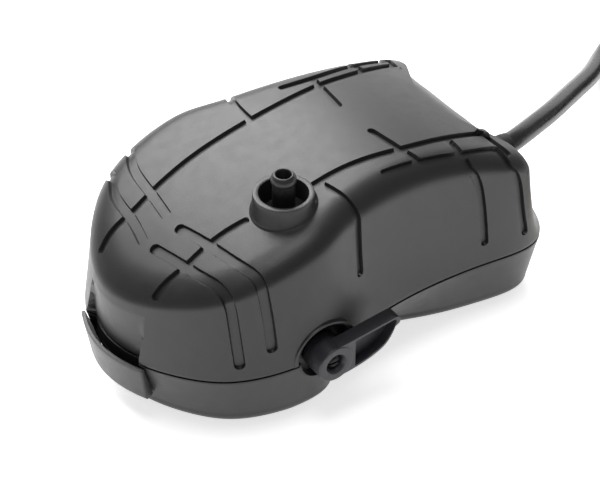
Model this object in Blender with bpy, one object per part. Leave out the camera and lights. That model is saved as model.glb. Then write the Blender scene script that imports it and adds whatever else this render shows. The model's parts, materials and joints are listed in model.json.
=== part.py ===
"""Aquarium air pump: a diaphragm pump in a two-shell plastic casing, with its mains cord.

The casing's centre line is x = 0 and its front is -Y before the whole pump is set on its own box's centre.
All sizes are in millimetres, and MM turns them into Blender's metres.
"""

import math

import bmesh
import bpy
import numpy as np
from mathutils import Vector

MM = 0.001
GAP = 0.3                         # clearance between pieces that touch
FRAME_SHIFT = (-1.8, 6.65, 0.0)   # puts the middle of the pump's own box over the origin

# Casing
HALF_OUTLINE = [                  # right half of the plan outline at the parting plane, nose to rear
    (0.0, -59.8), (21.2, -50.6), (28.7, -40.7), (31.2, -19.7),
    (28.0, -7.1), (27.4, 24.7), (26.9, 40.2), (13.5, 47.1), (0.0, 47.1),
]
OUTLINE_STEPS = 64
PARTING_Z = 16.85
UNDERSIDE_Z = 1.2
WALL = 2.2
CROWN_Z = 49.6                    # highest point of the casing
CROWN_Y = -2.1
FORE_AFT_CURVE = 0.00565          # drop of the roof in mm per mm squared, along Y and across X
CROSS_CURVE = 0.00165
SHOULDER = 6.4                    # radius between the walls and the roof
SHOULDER_H = 39.0                 # wall height at which that radius is set out
SIDE_DRAFT = 4.0                  # degrees
REAR_DRAFT = 20.0
BASE_EDGE = 3.4                   # radius of the tray's bottom edge
BASE_DRAFT_IN = (3.6, 2.0, 2.1)   # how far the tray has drawn in at its edge: nose, front lobe, rear
WAIST_IN = 8.4                    # and how much more at the finger scoops
WAIST_Y = -6.5
WAIST_FRONT, WAIST_REAR = 8.0, 17.0

# Air outlet
NOZZLE_X, NOZZLE_Y = 15.5, -22.3
COLLAR_RIM_Z = 50.3
CUP_R, CUP_FLOOR_Z = 5.2, 44.5
NOZZLE_TIP_Z = 55.0
BORE_R = 1.6

# Flow lever
LEVER_Y, LEVER_Z = -22.2, PARTING_Z
HUB_FACE_X, HUB_R = 35.2, 4.4
ARM_BACK_X = 31.7
BOSS_R, BOSS_BACK_X, BOSS_FACE_X = 8.2, 26.2, 31.35
LOWER_BOSS_R, LOWER_BOSS_FACE_X = 7.4, 28.9
BOSS_FLOOR_X = 28.2               # floor of the recess that the hub turns in
UPPER_RECESS_R, UPPER_RECESS_RISE = 6.9, 0.8
LOWER_RECESS_R = 6.0
SHAFT_HOLE_R = 2.4
SHAFT_R = 2.0

# Air intake
INTAKE_X = 1.5
INTAKE_HALF = 10.0
APRON_HALF = 11.6
APRON_OUT = 1.1                   # how far the apron stands out from the tray
APRON_LOW, APRON_HIGH = 7.0, 16.3
WINDOW_HALF, WINDOW_LOW, WINDOW_HIGH = 8.0, 8.0, 13.0

# Pump unit
CHAMBER_X, CHAMBER_Z = -6.5, 17.0
CHAMBER_R = 12.0
PIVOT_X, PIVOT_Y = -17.0, 7.7

# Mains cord
CORD_D = 5.4
CORD_X, CORD_Z = -3.5, 18.4
CORD_HOLE_R = 4.0
GROMMET_END_Y = 56.2
CORD_ROUTE = [                    # from the grommet to where the cord joins the coil
    (-3.9, 57.6, 18.3), (-7.7, 67.9, 16.7), (-12.5, 78.8, 14.4), (-20.2, 93.2, 10.4),
    (-27.1, 105.8, 6.9), (-33.2, 114.8, 4.4), (-37.4, 121.4, 3.3),
]
COIL_X, COIL_Y, COIL_Z = -14.0, 161.5, 1.2
COIL_MEAN_R = 12 * CORD_D / 2
COIL_H = 10.9
TAIL_ANGLE = 10.0                 # where the last turn leaves the coil, degrees
TAIL_RUN = (27.0, 34.0)           # the tail outside the coil's solid, along that tangent
PLUG_L, PLUG_W, PLUG_T = 36.0, 34.0, 13.0
PIN_SPACING, PIN_D, PIN_L = 19.0, 4.0, 19.0
LEAD_D = 1.3
LEAD_ROUTES = {                   # from the cord's inner end over the core's yoke to the winding
    "lead_live": [(-4.4, 36.3, 18.4), (-4.4, 35.0, 19.2), (-3.6, 34.2, 21.6), (-1.5, 31.6, 24.0),
                  (2.5, 30.4, 25.0), (7.0, 29.6, 24.6)],
    "lead_neutral": [(-2.6, 36.3, 18.4), (-2.6, 35.0, 19.2), (-1.8, 34.4, 21.6), (0.8, 33.6, 24.0),
                     (5.5, 32.4, 25.0), (11.5, 29.9, 24.6)],
}

FEET = {"foot_front_left": (-16, -25), "foot_front_right": (16, -25),
        "foot_rear_left": (-14, 24), "foot_rear_right": (14, 24)}
SCREWS = {"casing_screw_1": (-10, -42), "casing_screw_2": (10, -42),
          "casing_screw_3": (-17.2, 32), "casing_screw_4": (17.2, 32)}
FOOT_R = 4.5
COLUMN_R = 3.2
SCREW_HEAD_R, SCREW_SHANK_R = 2.6, 0.75


# ---------------------------------------------------------------- looks and mesh helpers

LOOKS = {
    "black_shell": ((0.012, 0.012, 0.013), 0.55, 0.0),
    "black_gloss": ((0.012, 0.013, 0.016), 0.3, 0.0),
    "black_rubber": ((0.015, 0.015, 0.015), 0.8, 0.0),
    "cord_pvc": ((0.010, 0.010, 0.011), 0.25, 0.0),
    "white_nylon": ((0.75, 0.74, 0.70), 0.45, 0.0),
    "felt": ((0.70, 0.70, 0.68), 0.95, 0.0),
    "copper_wire": ((0.72, 0.30, 0.14), 0.35, 1.0),
    "steel": ((0.55, 0.55, 0.56), 0.35, 1.0),
    "dark_steel": ((0.20, 0.20, 0.21), 0.5, 1.0),
    "black_steel": ((0.03, 0.03, 0.03), 0.45, 1.0),
    "brass": ((0.75, 0.60, 0.30), 0.25, 1.0),
}


def clear_scene():
    for obj in list(bpy.data.objects):
        bpy.data.objects.remove(obj, do_unlink=True)


def look(name, part):
    """One material for each sub-part, on one of the pump's few finishes."""
    colour, roughness, metallic = LOOKS[name]
    made = bpy.data.materials.new(f"{part}_{name}")
    made.use_nodes = True
    shader = made.node_tree.nodes["Principled BSDF"]
    shader.inputs["Base Color"].default_value = (*colour, 1.0)
    shader.inputs["Roughness"].default_value = roughness
    shader.inputs["Metallic"].default_value = metallic
    return made


def add_object(name, points, faces, finish, origin=(0, 0, 0)):
    """An object from points in millimetres, with its origin where a moving piece turns."""
    mesh = bpy.data.meshes.new(name)
    shifted = [tuple((Vector(p) - Vector(origin)) * MM) for p in points]
    mesh.from_pydata(shifted, [], faces)
    edit = bmesh.new()
    edit.from_mesh(mesh)
    bmesh.ops.recalc_face_normals(edit, faces=edit.faces)
    edit.to_mesh(mesh)
    edit.free()
    mesh.shade_smooth()
    mesh.set_sharp_from_angle(angle=math.radians(35))
    obj = bpy.data.objects.new(name, mesh)
    obj.location = Vector(origin) * MM
    bpy.context.scene.collection.objects.link(obj)
    obj.parent = bpy.data.objects["pump"]
    if finish:
        mesh.materials.append(look(finish, name))
    return obj


def strip_cap(start, count):
    """Faces straight across a ring that is the same on both sides of its first point."""
    pairs = [(start + i, start + (count - i) % count) for i in range(count // 2 + 1)]
    return [tuple(dict.fromkeys((a, c, d, b))) for (a, b), (c, d) in zip(pairs, pairs[1:])]


def loft(rings, closed=False, strips=False):
    """Points and faces through rings of equal length. Open stacks are capped, closed ones meet."""
    count = len(rings[0])
    points = [tuple(p) for ring in rings for p in ring]
    pairs = [(k, (k + 1) % len(rings)) for k in range(len(rings) if closed else len(rings) - 1)]
    faces = [
        (a * count + i, a * count + (i + 1) % count, b * count + (i + 1) % count, b * count + i)
        for a, b in pairs
        for i in range(count)
    ]
    for start in [] if closed else (0, (len(rings) - 1) * count):
        faces += strip_cap(start, count) if strips else [tuple(range(start, start + count))]
    return points, faces


def axes_of(axis):
    """Two directions across an axis named X, Y or Z."""
    return {"X": ((0, 1, 0), (0, 0, 1)), "Y": ((0, 0, 1), (1, 0, 0)), "Z": ((1, 0, 0), (0, 1, 0))}[axis]


def turned(profile, centre, axis="Z", steps=20, closed=False):
    """A profile of (radius, position along the axis) turned about the axis through centre."""
    along = {"X": Vector((1, 0, 0)), "Y": Vector((0, 1, 0)), "Z": Vector((0, 0, 1))}[axis]
    u, v = (Vector(side) for side in axes_of(axis))
    base = Vector(centre) - along * Vector(centre).dot(along)
    rings = []
    for radius, at in profile:
        rings.append([
            tuple(base + along * at + (u * math.cos(a) + v * math.sin(a)) * radius)
            for a in (math.tau * i / steps for i in range(steps))
        ])
    return loft(rings, closed)


def prism(outline, axis, low, high):
    """A flat outline given in the two directions across the axis, from low to high along it."""
    order = {"X": lambda p, at: (at, p[0], p[1]), "Y": lambda p, at: (p[0], at, p[1]),
             "Z": lambda p, at: (p[0], p[1], at)}[axis]
    return loft([[order(p, low) for p in outline], [order(p, high) for p in outline]])


def box(low, high):
    (x0, y0, z0), (x1, y1, z1) = low, high
    return prism([(x0, y0), (x1, y0), (x1, y1), (x0, y1)], "Z", z0, z1)


def gathered(*shapes):
    """Several closed shapes as one list of points and faces."""
    points, faces = [], []
    for shape_points, shape_faces in shapes:
        faces += [tuple(i + len(points) for i in face) for face in shape_faces]
        points += shape_points
    return points, faces


def arc(centre, radius, start, end, steps):
    """Points on a circle, angles in degrees."""
    return [
        (centre[0] + radius * math.cos(math.radians(a)), centre[1] + radius * math.sin(math.radians(a)))
        for a in np.linspace(start, end, steps)
    ]


def shape_with(obj, name, shape, operation):
    """Adds or cuts away a shape with an exact Boolean. The shape stays in the file as a hidden guide."""
    guide = add_object(name, *shape, None)
    guide.hide_render = True
    guide.display_type = "WIRE"
    step = obj.modifiers.new(name, "BOOLEAN")
    step.operation = operation
    step.solver = "EXACT"
    step.object = guide


def cut(obj, name, *shapes):
    for number, shape in enumerate(shapes):
        shape_with(obj, f"{name}_cut_{number}", shape, "DIFFERENCE")


def join(obj, name, *shapes):
    for number, shape in enumerate(shapes):
        shape_with(obj, f"{name}_join_{number}", shape, "UNION")


def rounded(obj, width, segments=2, angle=40):
    bevel = obj.modifiers.new("edge_radius", "BEVEL")
    bevel.width = width * MM
    bevel.segments = segments
    bevel.limit_method = "ANGLE"
    bevel.angle_limit = math.radians(angle)


# ---------------------------------------------------------------- casing form

def closed_spline(corners, count):
    """A smooth closed cubic through the corners, as count points."""
    corners = np.asarray(corners, float)
    size = len(corners)
    span = np.linalg.norm(np.roll(corners, -1, 0) - corners, axis=1) ** 0.75
    matrix = np.zeros((size, size))
    right = np.zeros_like(corners)
    for i in range(size):
        before, after = span[i - 1], span[i]
        matrix[i, i - 1] += before
        matrix[i, i] += 2 * (before + after)
        matrix[i, (i + 1) % size] += after
        ahead = (corners[(i + 1) % size] - corners[i]) / after
        right[i] = 6 * (ahead - (corners[i] - corners[i - 1]) / before)
    bend = np.linalg.solve(matrix, right)
    knots = np.concatenate([[0], np.cumsum(span)])
    at = np.linspace(0, knots[-1], count, endpoint=False)
    k = np.clip(np.searchsorted(knots, at, side="right") - 1, 0, size - 1)
    u = (at - knots[k])[:, None]
    h = span[k][:, None]
    w = h - u
    after = (k + 1) % size
    curve = (bend[k] * w**3 + bend[after] * u**3) / (6 * h)
    return curve + (corners[k] / h - bend[k] * h / 6) * w + (corners[after] / h - bend[after] * h / 6) * u


def outward(curve):
    along = np.roll(curve, -1, 0) - np.roll(curve, 1, 0)
    across = np.stack([along[:, 1], -along[:, 0]], 1)
    return across / np.linalg.norm(across, axis=1)[:, None]


LEFT_HALF = [(-x, y) for x, y in HALF_OUTLINE[-2:0:-1]]
OUTLINE = closed_spline(HALF_OUTLINE + LEFT_HALF, OUTLINE_STEPS)
OUTWARD = outward(OUTLINE)


def ring_at(inset, z):
    """The outline drawn in by inset, at a height that may differ from point to point."""
    inset = np.broadcast_to(np.asarray(inset, float), (OUTLINE_STEPS,))
    flat = OUTLINE - OUTWARD * inset[:, None]
    z = np.broadcast_to(np.asarray(z, float), (OUTLINE_STEPS,))
    return np.column_stack([flat, z])


def roof_z(x, y):
    return CROWN_Z - FORE_AFT_CURVE * (y - CROWN_Y) ** 2 - CROSS_CURVE * x**2


def shell_rings(skin, shoulder, wall_steps, round_steps, roof_steps):
    """Rings up the wall, round the shoulder and over the roof, skin millimetres inside the outer surface."""
    rear = np.clip(OUTWARD[:, 1], 0, 1) ** 2
    lean = np.radians(SIDE_DRAFT + (REAR_DRAFT - SIDE_DRAFT) * rear)
    top = SHOULDER_H - shoulder
    centre_in = top * np.tan(lean) + shoulder / np.cos(lean)
    rim = PARTING_Z + GAP / 2
    rings = []

    def add(inset, share):
        flat = ring_at(inset + skin, 0)
        height = roof_z(flat[:, 0], flat[:, 1]) - skin - rim
        rings.append(np.column_stack([flat[:, :2], rim + height * share]))

    for t in np.linspace(0, 1, wall_steps):
        height = t * (top + shoulder * np.sin(lean))
        add(height * np.tan(lean), height / SHOULDER_H)
    for t in np.linspace(0, 1, round_steps + 1)[1:]:
        angle = lean + (math.pi / 2 - lean) * t
        add(centre_in - shoulder * np.cos(angle), (top + shoulder * np.sin(angle)) / SHOULDER_H)
    edge = rings[-1][:, :2]
    spine = np.column_stack([np.zeros(len(edge)), edge[:, 1] * 0.7])
    for t in np.linspace(0, 0.9, roof_steps + 1)[1:]:
        flat = edge * (1 - t) + spine * t
        rings.append(np.column_stack([flat, roof_z(flat[:, 0], flat[:, 1]) - skin]))
    return rings


def tray_inset():
    """How far the tray's wall has drawn in where its bottom edge starts."""
    y = OUTLINE[:, 1]
    nose, lobe, rear = BASE_DRAFT_IN
    plain = np.interp(y, (-59.8, -30.0, 47.1), (nose, lobe, rear))
    spread = np.where(y < WAIST_Y, WAIST_FRONT, WAIST_REAR)
    return plain + WAIST_IN * np.exp(-(((y - WAIST_Y) / spread) ** 2))


def tray_rings(skin, wall_steps, round_steps):
    """Rings from the tray's rim down to its flat bottom, skin millimetres inside the outer surface."""
    top = PARTING_Z - GAP / 2
    edge_z = UNDERSIDE_Z + BASE_EDGE
    drawn = tray_inset()
    rings = []
    for t in np.linspace(0, 1, wall_steps):
        rings.append(ring_at(skin + drawn * t, top + (edge_z - top) * t))
    radius = BASE_EDGE - skin
    for angle in np.linspace(0, math.pi / 2, round_steps + 1)[1:]:
        inset = skin + drawn + radius * (1 - math.cos(angle))
        rings.append(ring_at(inset, edge_z - radius * math.sin(angle)))
    return rings


def band(inner, outer, half, low, high):
    """A block that follows the nose between two insets, half wide each way."""
    near = [i for i in range(OUTLINE_STEPS) if OUTLINE[i, 1] < -30]
    near.sort(key=lambda i: OUTLINE[i, 0])
    across = np.linspace(INTAKE_X - half, INTAKE_X + half, 13)

    def line(inset):
        flat = (OUTLINE - OUTWARD * inset)[near]
        return [(x, float(np.interp(x, flat[:, 0], flat[:, 1]))) for x in across]

    return prism(line(outer) + line(inner)[::-1], "Z", low, high)


# ---------------------------------------------------------------- casing pieces

def lever_boss(low_angle, radius, face_x, rise):
    """Half of the round boss in the wall round the lever's hub."""
    edge = arc((LEVER_Y, LEVER_Z + rise), radius, low_angle, low_angle + 180, 15)
    return prism(edge, "X", BOSS_BACK_X, face_x)


def lever_bore(radius, start, end, steps=16, rise=0.0):
    """A round along the lever's axis."""
    return turned([(radius, start), (radius, end)], (0, LEVER_Y, LEVER_Z + rise), "X", steps)


def cord_bore(radius, start, end):
    return turned([(radius, start), (radius, end)], (CORD_X, 0, CORD_Z), "Y", 20)


def columns(places, radius, low, high, steps=12):
    return gathered(*(
        turned([(radius, low), (radius, high)], (x, y, 0), "Z", steps) for x, y in places
    ))


def upper_casing():
    outer = shell_rings(0.0, SHOULDER, 5, 6, 5)
    inner = shell_rings(WALL, SHOULDER - WALL, 3, 3, 3)
    casing = add_object("upper_casing", *loft(outer[::-1] + inner, strips=True), "black_shell")
    collar = turned(
        [(7.4, 42.0), (7.2, 46.0), (6.8, 47.2), (6.6, COLLAR_RIM_Z - 0.4), (6.3, COLLAR_RIM_Z)],
        (NOZZLE_X, NOZZLE_Y, 0), "Z", 28)
    join(casing, "casing", collar, lever_boss(0, BOSS_R, BOSS_FACE_X, GAP / 2),
         band(4.4, 1.5, INTAKE_HALF + 2, PARTING_Z + GAP / 2, 27.0),
         columns(list(SCREWS.values())[:2], COLUMN_R, 17.3, 38.0),
         columns(list(SCREWS.values())[2:], COLUMN_R, 17.3, 37.0))
    cut(casing, "casing",
        turned([(CUP_R, CUP_FLOOR_Z), (CUP_R, 60.0)], (NOZZLE_X, NOZZLE_Y, 0), "Z", 28),
        turned([(2.75, 38.0), (2.75, 60.0)], (NOZZLE_X, NOZZLE_Y, 0), "Z", 20),
        band(2.0, -6.0, INTAKE_HALF, 10.0, 45.0),
        lever_bore(UPPER_RECESS_R, BOSS_FLOOR_X, 45.0, 28, UPPER_RECESS_RISE),
        lever_bore(SHAFT_HOLE_R, 20.0, 45.0),
        cord_bore(CORD_HOLE_R, 38.0, 60.0),
        columns(SCREWS.values(), SCREW_SHANK_R + 0.35, 10.0, 30.0, 10))


def base_tray():
    outer = tray_rings(0.0, 4, 5)
    inner = tray_rings(WALL, 3, 2)
    tray = add_object("base_tray", *loft(outer[::-1] + inner), "black_shell")
    join(tray, "tray", lever_boss(180, LOWER_BOSS_R, LOWER_BOSS_FACE_X, -GAP / 2),
         columns(SCREWS.values(), COLUMN_R, 4.0, 16.5),
         columns(SCREWS.values(), COLUMN_R + 1.1, 2.2, 6.4, 16))
    cut(tray, "tray",
        lever_bore(LOWER_RECESS_R, BOSS_FLOOR_X, 45.0, 24),
        lever_bore(SHAFT_HOLE_R, 20.0, 45.0),
        cord_bore(CORD_HOLE_R, 38.0, 60.0),
        columns(SCREWS.values(), SCREW_SHANK_R + 0.95, -2.0, 20.0, 10),
        columns(SCREWS.values(), SCREW_HEAD_R + GAP, -2.0, 5.2, 14),
        columns(FEET.values(), FOOT_R + GAP, -2.0, 2.2, 18),
        box((INTAKE_X - WINDOW_HALF, -62.0, WINDOW_LOW), (INTAKE_X + WINDOW_HALF, -50.0, WINDOW_HIGH)),
        band(3.4, -6.0, INTAKE_HALF, WINDOW_HIGH, 20.0))


def intake_cover():
    """The apron over the intake: upright in front, and fitted to the tray's nose behind."""
    front = band(9.0, -APRON_OUT, APRON_HALF, APRON_LOW, APRON_HIGH)
    cover = add_object("intake_cover", *front, "black_shell")
    cut(cover, "cover", loft([ring_at(-GAP, 20.0)] + tray_rings(-GAP, 4, 5)))


def intake_filter():
    half, low, high = WINDOW_HALF - GAP, WINDOW_LOW + GAP, WINDOW_HIGH - GAP
    shape = box((INTAKE_X - half, -54.6, low), (INTAKE_X + half, -51.2, high))
    add_object("intake_filter", *shape, "felt")


def rubber_feet():
    for name, (x, y) in FEET.items():
        profile = [(FOOT_R - 0.4, 0.0), (FOOT_R, 0.5), (FOOT_R, 1.9)]
        add_object(name, *turned(profile, (x, y, 0), "Z", 18), "black_rubber")


def casing_screws():
    for name, (x, y) in SCREWS.items():
        head = [(SCREW_HEAD_R - 0.5, 2.6), (SCREW_HEAD_R, 3.2), (SCREW_HEAD_R, 4.9)]
        shank = [(SCREW_SHANK_R, 4.5), (SCREW_SHANK_R, 24.0), (0.2, 25.0)]
        screw = add_object(name, *turned(head, (x, y, 0), "Z", 14), "steel")
        join(screw, name, turned(shank, (x, y, 0), "Z", 8))
        cut(screw, name, box((x - 0.35, y - 1.6, 2.0), (x + 0.35, y + 1.6, 3.6)),
            box((x - 1.6, y - 0.35, 2.0), (x + 1.6, y + 0.35, 3.6)))


# ---------------------------------------------------------------- air outlet and flow lever

def outlet_nozzle():
    outer = [(2.35, 21.9), (2.35, 44.8), (3.4, 44.8), (2.6, 45.6), (2.4, 46.8), (2.4, 51.8),
             (2.7, 52.5), (2.7, 53.4), (2.0, NOZZLE_TIP_Z)]
    inner = [(BORE_R, NOZZLE_TIP_Z), (BORE_R, 21.9)]
    shape = turned(outer + inner, (NOZZLE_X, NOZZLE_Y, 0), "Z", 24, closed=True)
    add_object("outlet_nozzle", *shape, "black_shell")


def lever_outline():
    """The tear-drop arm in (y, z) from the hub's centre to its rounded tip at the rear."""
    upper = [(-1.0, 4.2), (5.0, 4.6), (10.5, 5.1), (15.4, 5.5)]
    tip = arc((15.5, 4.2), 1.25, 80, -40, 4)
    lower = [(14.9, 1.8), (13.4, -0.7), (11.0, -2.2), (7.5, -3.3), (3.5, -3.9), (0.5, -4.1)]
    return [(y + LEVER_Y, z + LEVER_Z) for y, z in upper + tip + lower]


def flow_lever():
    pivot = (HUB_FACE_X, LEVER_Y, LEVER_Z)
    hub = turned([(HUB_R, 28.9), (HUB_R, HUB_FACE_X - 0.4), (HUB_R - 0.4, HUB_FACE_X)],
                 (0, LEVER_Y, LEVER_Z), "X", 28)
    lever = add_object("flow_lever", *hub, "black_gloss", origin=pivot)
    pocket = [(5.0, 3.9), (14.9, 4.8), (15.4, 4.0), (14.3, 1.7), (12.9, -0.3), (10.7, -1.6), (7.4, -2.6),
              (5.0, -3.0)]
    join(lever, "lever", prism(lever_outline(), "X", ARM_BACK_X, HUB_FACE_X - 0.1))
    cut(lever, "lever",
        prism([(y + LEVER_Y, z + LEVER_Z) for y, z in pocket], "X", ARM_BACK_X + 0.9, 40.0),
        lever_bore(SHAFT_R + GAP, 20.0, 32.0),
        lever_bore(1.2, 30.0, 34.0, 12),
        turned([(1.9, 33.0), (1.9, 34.4), (2.5, 35.3), (2.5, 38.0)], (0, LEVER_Y, LEVER_Z), "X", 20))


def lever_screw():
    pivot = (HUB_FACE_X, LEVER_Y, LEVER_Z)
    profile = [(0.9, 29.6), (0.9, 33.3), (1.6, 33.3), (1.6, 34.1), (1.0, 34.5)]
    shape = turned(profile, (0, LEVER_Y, LEVER_Z), "X", 14)
    screw = add_object("lever_screw", *shape, "black_steel", origin=pivot)
    cut(screw, "lever_screw", box((34.0, LEVER_Y - 2, LEVER_Z - 0.25), (36.0, LEVER_Y + 2, LEVER_Z + 0.25)))


def regulator_spindle():
    pivot = (HUB_FACE_X, LEVER_Y, LEVER_Z)
    spindle = add_object("regulator_spindle", *lever_bore(SHAFT_R, 14.4, 31.7), "white_nylon", origin=pivot)
    cut(spindle, "spindle", lever_bore(1.2, 29.2, 33.0, 12), lever_bore(1.0, 12.0, 16.3, 10),
        turned([(1.0, LEVER_Z), (1.0, LEVER_Z + 4)], (NOZZLE_X, LEVER_Y, 0), "Z", 10))


def spindle_seal():
    ring = [(2.9 + 0.6 * math.cos(a), 24.95 + 0.6 * math.sin(a)) for a in np.linspace(0, math.tau, 9)[:-1]]
    add_object("spindle_seal", *turned(ring, (0, LEVER_Y, LEVER_Z), "X", 16, closed=True), "black_rubber")


def regulator_body():
    body = add_object("regulator_body", *box((10.0, LEVER_Y - 5.5, 10.5), (24.0, LEVER_Y + 5.5, 27.0)),
                      "white_nylon")
    cut(body, "regulator",
        turned([(2.65, 21.6), (2.65, 30.0)], (NOZZLE_X, NOZZLE_Y, 0), "Z", 18),
        turned([(1.3, LEVER_Z), (1.3, 24.0)], (NOZZLE_X, NOZZLE_Y, 0), "Z", 10),
        lever_bore(SHAFT_R + GAP, 14.1, 30.0),
        lever_bore(1.3, 8.0, 16.0, 10),
        lever_bore(2.8, 8.0, 12.6))


def outlet_hose():
    ring = [(2.5, 5.3), (2.5, 12.3), (1.5, 12.3), (1.5, 5.3)]
    add_object("outlet_hose", *turned(ring, (0, LEVER_Y, LEVER_Z), "X", 14, closed=True), "black_rubber")


# ---------------------------------------------------------------- pump unit

def chamber_part(profile, closed=False, steps=28):
    return turned(profile, (CHAMBER_X, 0, CHAMBER_Z), "Y", steps, closed)


def port(side):
    return turned([(1.6, -20.0), (1.6, -8.0)], (CHAMBER_X + side, 0, CHAMBER_Z), "Y", 10)


def pump_chamber():
    wall = [(CHAMBER_R, -14.0), (CHAMBER_R, -4.0), (10.0, -4.0), (10.0, -12.0)]
    chamber = add_object("pump_chamber", *chamber_part(wall), "white_nylon")
    cut(chamber, "chamber", port(-5.0), port(5.0))


def valve_cap():
    """The cover behind the chamber: an inlet side, and an outlet side with a socket for the hose."""
    wall = [(CHAMBER_R, -27.0), (CHAMBER_R, -14.3), (10.3, -14.3), (10.3, -25.2)]
    cap = add_object("valve_cap", *chamber_part(wall), "white_nylon")
    divider = box((CHAMBER_X - 0.8, -26.0, CHAMBER_Z - 10.8), (CHAMBER_X + 0.8, -14.3, CHAMBER_Z + 10.8))
    join(cap, "cap", divider, lever_bore(4.2, 1.0, 7.5, 18))
    cut(cap, "cap", lever_bore(1.6, -4.0, 6.0, 10), lever_bore(2.8, 5.0, 20.0),
        turned([(1.6, -30.0), (1.6, -20.0)], (CHAMBER_X - 5.0, 0, CHAMBER_Z), "Y", 10))


def flap(name, side, front, axis_y):
    x = CHAMBER_X + side
    top = CHAMBER_Z + 4.0
    shape = box((x - 3.0, front, top - 8.0), (x + 3.0, front + 0.8, top))
    add_object(name, *shape, "black_rubber", origin=(x, axis_y, top))


def diaphragm():
    loop = [(12.0, -3.7), (12.0, -2.2), (10.9, -2.2), (10.1, 0.6), (8.6, 1.6), (7.2, 0.6), (6.6, -0.4),
            (1.8, -0.4), (1.8, -1.6), (7.2, -1.6), (8.0, -0.4), (8.8, 0.0), (9.3, -0.6), (9.9, -3.7)]
    add_object("diaphragm", *chamber_part(loop, closed=True), "black_rubber")


def diaphragm_stack():
    """The discs that clamp the diaphragm's middle, and the screw that ties them to the arm."""
    pivot = (PIVOT_X, PIVOT_Y, CHAMBER_Z)
    disc = [(5.6, 0.3), (5.6, 1.5), (3.0, 2.6), (3.0, 6.9), (1.6, 6.9), (1.6, 0.3)]
    washer = [(5.0, -3.2), (5.0, -2.2), (1.6, -2.2), (1.6, -3.2)]
    screw = [(1.2, -4.2), (1.2, 8.5), (2.8, 8.5), (2.8, 9.8), (2.0, 10.4)]
    add_object("diaphragm_disc", *chamber_part(disc, True, 20), "white_nylon", origin=pivot)
    add_object("diaphragm_washer", *chamber_part(washer, True, 20), "steel", origin=pivot)
    add_object("diaphragm_screw", *chamber_part(screw, False, 12), "steel", origin=pivot)


def armature():
    pivot = (PIVOT_X, PIVOT_Y, CHAMBER_Z)
    strip = box((PIVOT_X - 1.5, 7.2, 11.5), (15.0, 8.2, 22.5))
    arm = add_object("armature_arm", *strip, "steel", origin=pivot)
    cut(arm, "arm", turned([(1.5, 4.0), (1.5, 12.0)], (CHAMBER_X, 0, CHAMBER_Z), "Y", 12))
    add_object("arm_magnet", *box((6.5, 8.5, 12.0), (15.0, 11.6, 22.0)), "dark_steel", origin=pivot)
    block = add_object("arm_pivot_block", *box((-20.0, 4.4, 12.0), (-14.0, 11.0, 25.0)), "black_rubber")
    cut(block, "block", box((-18.9, 6.6, 5.0), (-10.0, 8.8, 23.2)))
    bracket = add_object("arm_bracket", *box((-18.0, 4.4, 9.9), (-9.0, 11.0, 11.5)), "white_nylon")
    join(bracket, "bracket", box((-13.0, 4.4, 3.8), (-9.0, 11.0, 10.5)))


def electromagnet():
    core = add_object("stator_core", *box((8.0, 14.0, 12.0), (14.0, 33.2, 22.0)), "dark_steel")
    join(core, "core", box((-9.0, 28.7, 12.0), (10.0, 33.2, 22.0)),
         box((-9.0, 14.0, 12.0), (-3.0, 31.0, 22.0)))
    bobbin = add_object("coil_bobbin", *box((6.7, 15.2, 10.7), (15.3, 28.4, 23.3)), "white_nylon")
    join(bobbin, "bobbin", box((3.5, 15.2, 7.5), (18.5, 16.4, 26.5)),
         box((3.5, 27.2, 7.5), (18.5, 28.4, 26.5)))
    cut(bobbin, "bobbin", box((7.7, 10.0, 11.7), (14.3, 36.0, 22.3)))
    winding = add_object("coil_winding", *box((4.2, 16.7, 8.2), (17.8, 26.9, 25.8)), "copper_wire")
    rounded(winding, 1.5, 2)
    cut(winding, "winding", box((6.4, 10.0, 10.4), (15.6, 36.0, 23.6)))
    saddle = add_object("core_bracket", *box((-8.0, 28.7, 3.8), (10.0, 33.0, 11.7)), "white_nylon")
    cut(saddle, "saddle", box((-4.0, 25.0, 2.0), (6.0, 40.0, 9.0)))


# ---------------------------------------------------------------- mains cord

def cord_grommet():
    profile = [(3.6, 36.8), (3.6, 39.0), (4.9, 39.0), (4.9, 40.4), (3.6, 40.4), (3.6, 47.6), (4.3, 47.6),
               (4.3, 48.6), (3.7, 49.2), (3.3, GROMMET_END_Y)]
    add_object("cord_grommet", *turned(profile, (CORD_X, 0, CORD_Z), "Y", 20), "black_rubber")


def cord_clamp():
    clamp = add_object("cord_clamp", *box((-9.0, 36.9, 3.7), (2.0, 38.7, 23.6)), "white_nylon")
    cut(clamp, "clamp", cord_bore(CORD_HOLE_R - 0.1, 30.0, 50.0))


def tube(name, route, diameter, finish, spacing, sides):
    """A tube along a smooth curve through the route's points."""
    points = smooth_route(route, spacing)
    curve = bpy.data.curves.new(name, "CURVE")
    curve.dimensions = "3D"
    curve.bevel_depth = diameter / 2 * MM
    curve.bevel_resolution = sides
    curve.use_fill_caps = True
    spline = curve.splines.new("POLY")
    spline.points.add(len(points) - 1)
    for made, place in zip(spline.points, points):
        made.co = (*(c * MM for c in place), 1.0)
    obj = bpy.data.objects.new(name, curve)
    bpy.context.scene.collection.objects.link(obj)
    obj.parent = bpy.data.objects["pump"]
    curve.materials.append(look(finish, name))


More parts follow.
